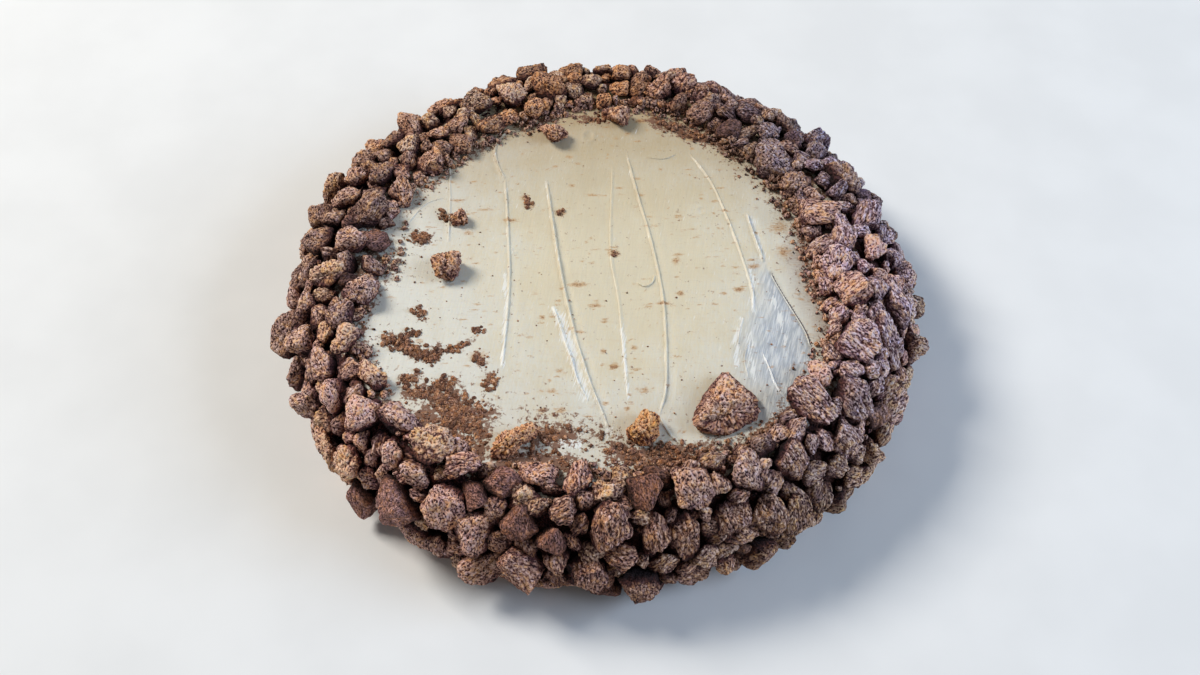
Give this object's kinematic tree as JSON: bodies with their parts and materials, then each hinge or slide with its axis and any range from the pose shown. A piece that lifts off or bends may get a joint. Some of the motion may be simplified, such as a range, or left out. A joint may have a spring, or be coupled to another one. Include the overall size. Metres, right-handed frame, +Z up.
{
  "type": "round cream cake with crushed biscuit rim",
  "caption": "Whole round cake with a pale cream top spread by knife, and a rim and side covered in broken dark biscuit.",
  "frame": {"origin": "centre of the outline at the base", "axes": "+Z up, -Y towards the front of the cake, +X to its right"},
  "size_m": [0.256, 0.2512, 0.0508],
  "materials": {
    "cream": "soft satin cream with knife ridges and fine brown crumbs",
    "biscuit": "dry, rough and granular dark brown biscuit"
  },
  "bodies": {
    "root": {"cream_cake": "cream", "biscuit_bank": "biscuit", "biscuit_wedge": "biscuit", "biscuit_long_left": "biscuit", "biscuit_long_front": "biscuit", "biscuit_lump_left": "biscuit", "biscuit_lump_back": "biscuit", "biscuit_lump_far": "biscuit", "biscuit_bit_left": "biscuit"}
  },
  "joints": []
}
